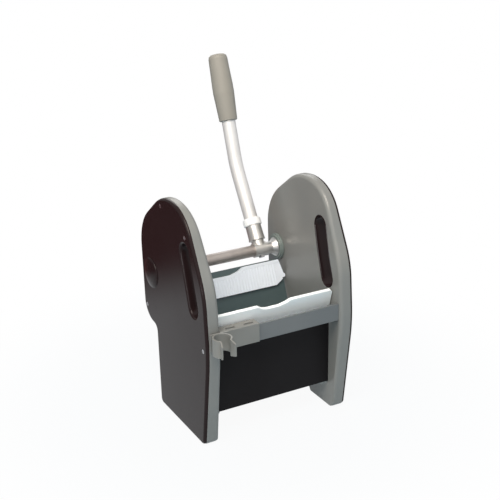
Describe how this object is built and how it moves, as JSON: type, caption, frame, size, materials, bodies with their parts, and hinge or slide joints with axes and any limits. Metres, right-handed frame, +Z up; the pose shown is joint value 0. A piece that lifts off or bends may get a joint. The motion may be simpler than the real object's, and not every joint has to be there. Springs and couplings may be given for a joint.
{
  "type": "mop wringer",
  "caption": "Mop wringer with hollow side housings, a fixed front plate, a rear jaw that gears swing forward when the bent hand lever is pulled, and a clip for a handle.",
  "frame": {"origin": "on the floor, midway across the covers and midway between the clip's lips and the back of the grip", "axes": "+X to the operator's right, +Z up, -Y towards the operator at the front, where the clip is"},
  "size_m": [0.277, 0.4005, 0.5554],
  "materials": {
    "frame_plastic": "satin moulded, warm grey",
    "cover_plastic": "polished, near black",
    "zinc_screw": "zinc plated",
    "bar_plastic": "satin moulded, cool grey",
    "panel_plastic": "satin moulded, black",
    "floor_plastic": "moulded, light grey",
    "plate_plastic": "moulded, white with a cool tint",
    "clip_plastic": "moulded, beige grey",
    "bush_plastic": "moulded, green grey",
    "shaft_steel": "dull, drawn",
    "bright_steel": "turned",
    "cast_aluminium": "cast and tumbled",
    "tube_aluminium": "satin anodised",
    "collar_plastic": "moulded, white",
    "grip_plastic": "moulded over the tube, warm grey",
    "gear_steel": "hobbed, oiled",
    "spring_steel": "blackened",
    "gear_nylon": "moulded, black",
    "jaw_plastic": "moulded, dark green grey"
  },
  "bodies": {
    "base": {"left_side_frame": "frame_plastic", "right_side_frame": "frame_plastic", "left_side_cover": "cover_plastic", "right_side_cover": "cover_plastic", "left_cover_screws": "zinc_screw", "right_cover_screws": "zinc_screw", "front_crossbar": "bar_plastic", "front_panel": "panel_plastic", "rear_panel": "panel_plastic", "drain_floor": "floor_plastic", "frame_bolts": "zinc_screw", "front_press_plate": "plate_plastic", "handle_clip": "clip_plastic", "left_shaft_bush": "bush_plastic", "right_shaft_bush": "bush_plastic", "left_axle_bush": "bush_plastic", "right_axle_bush": "bush_plastic", "left_idler_pin": "bright_steel", "right_idler_pin": "bright_steel"},
    "lever": {"cross_shaft": "shaft_steel", "lever_tee": "cast_aluminium", "tee_bolt": "zinc_screw", "tee_nut": "zinc_screw", "left_thrust_collar": "bright_steel", "right_thrust_collar": "bright_steel", "lever_collar": "collar_plastic", "lever_tube": "tube_aluminium", "lever_grip": "grip_plastic", "left_pinion": "gear_steel", "right_pinion": "gear_steel", "shaft_circlips": "spring_steel"},
    "left_idler": {"left_idler": "gear_nylon"},
    "right_idler": {"right_idler": "gear_nylon"},
    "jaw": {"jaw_axle": "bright_steel", "left_sector": "gear_nylon", "right_sector": "gear_nylon", "axle_circlips": "spring_steel", "jaw_carrier": "jaw_plastic", "jaw_pad": "plate_plastic", "pad_screws": "zinc_screw"}
  },
  "joints": [
    {"name": "lever_swing", "type": "hinge", "parent": "base", "child": "lever", "pos_m": [0, 0.04156, 0.235], "axis": [1, 0, 0], "range_deg": [0, 90]},
    {"name": "left_idler_spin", "type": "hinge", "parent": "base", "child": "left_idler", "pos_m": [-0.1195, -0.01476, 0.18341], "axis": [1, 0, 0], "range_deg": [-46.46, 0]},
    {"name": "right_idler_spin", "type": "hinge", "parent": "base", "child": "right_idler", "pos_m": [0.1195, -0.01476, 0.18341], "axis": [1, 0, 0], "range_deg": [-46.46, 0]},
    {"name": "jaw_swing", "type": "hinge", "parent": "base", "child": "jaw", "pos_m": [0, -0.03594, 0.07], "axis": [1, 0, 0], "range_deg": [0, 36]}
  ],
  "couplings": [
    {"joint": "left_idler_spin", "follows": "lever_swing", "ratio": -0.51613},
    {"joint": "right_idler_spin", "follows": "lever_swing", "ratio": -0.51613},
    {"joint": "jaw_swing", "follows": "lever_swing", "ratio": 0.4}
  ]
}
